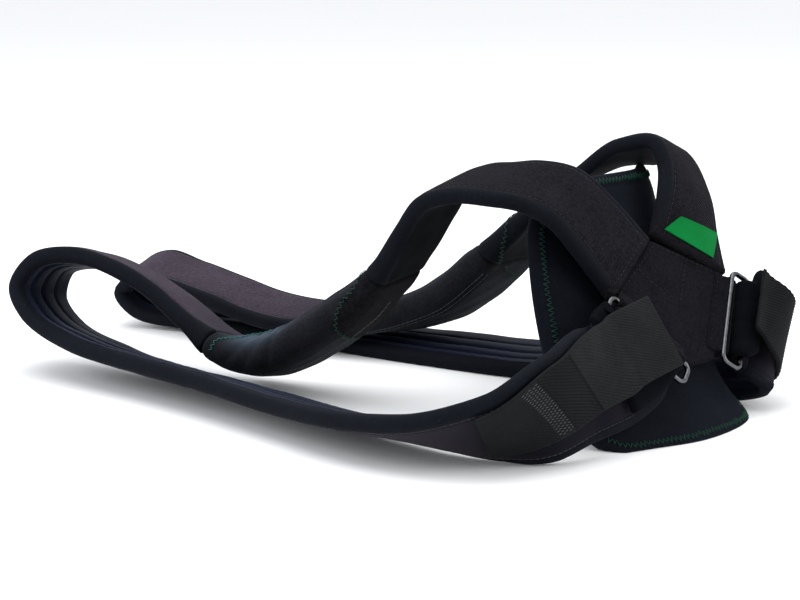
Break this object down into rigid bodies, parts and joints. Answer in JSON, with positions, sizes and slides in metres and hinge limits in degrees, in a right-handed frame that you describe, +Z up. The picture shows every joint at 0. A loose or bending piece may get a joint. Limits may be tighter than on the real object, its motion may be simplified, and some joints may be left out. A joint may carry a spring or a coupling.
{
  "type": "clavicle brace",
  "caption": "Soft padded clavicle brace lying on a surface: a leaning back pad with a centre yoke and padded shoulder straps that loop forward and return to wire rings.",
  "frame": {"origin": "on the surface it lies on, under the middle of the bounding box", "axes": "+Z up; +Y from the outside of the back towards the front of the wearer, along the straps; +X to the wearer's right"},
  "size_m": [0.2506, 0.4116, 0.1288],
  "materials": {
    "navy_laminate": "smooth navy-black knit laminated on foam",
    "loop_fabric": "black brushed loop fabric with a fine diagonal grain",
    "velour": "dark grey-purple brushed velour, navy quilted back",
    "webbing": "dark grey ribbed webbing",
    "ring_steel": "dark plated steel wire",
    "label_green": "smooth woven label, blank"
  },
  "bodies": {
    "root": {"back_pad": "navy_laminate", "centre_yoke": "loop_fabric", "shoulder_strap_left": "loop_fabric", "shoulder_strap_right": "loop_fabric", "front_pad_left": "navy_laminate", "front_pad_right": "navy_laminate", "loop_strap_left": "velour", "loop_strap_right": "velour", "closure_tab_left": "webbing", "closure_tab_right": "webbing", "ring_left": "ring_steel", "ring_right": "ring_steel", "label_tab": "label_green"}
  },
  "joints": []
}
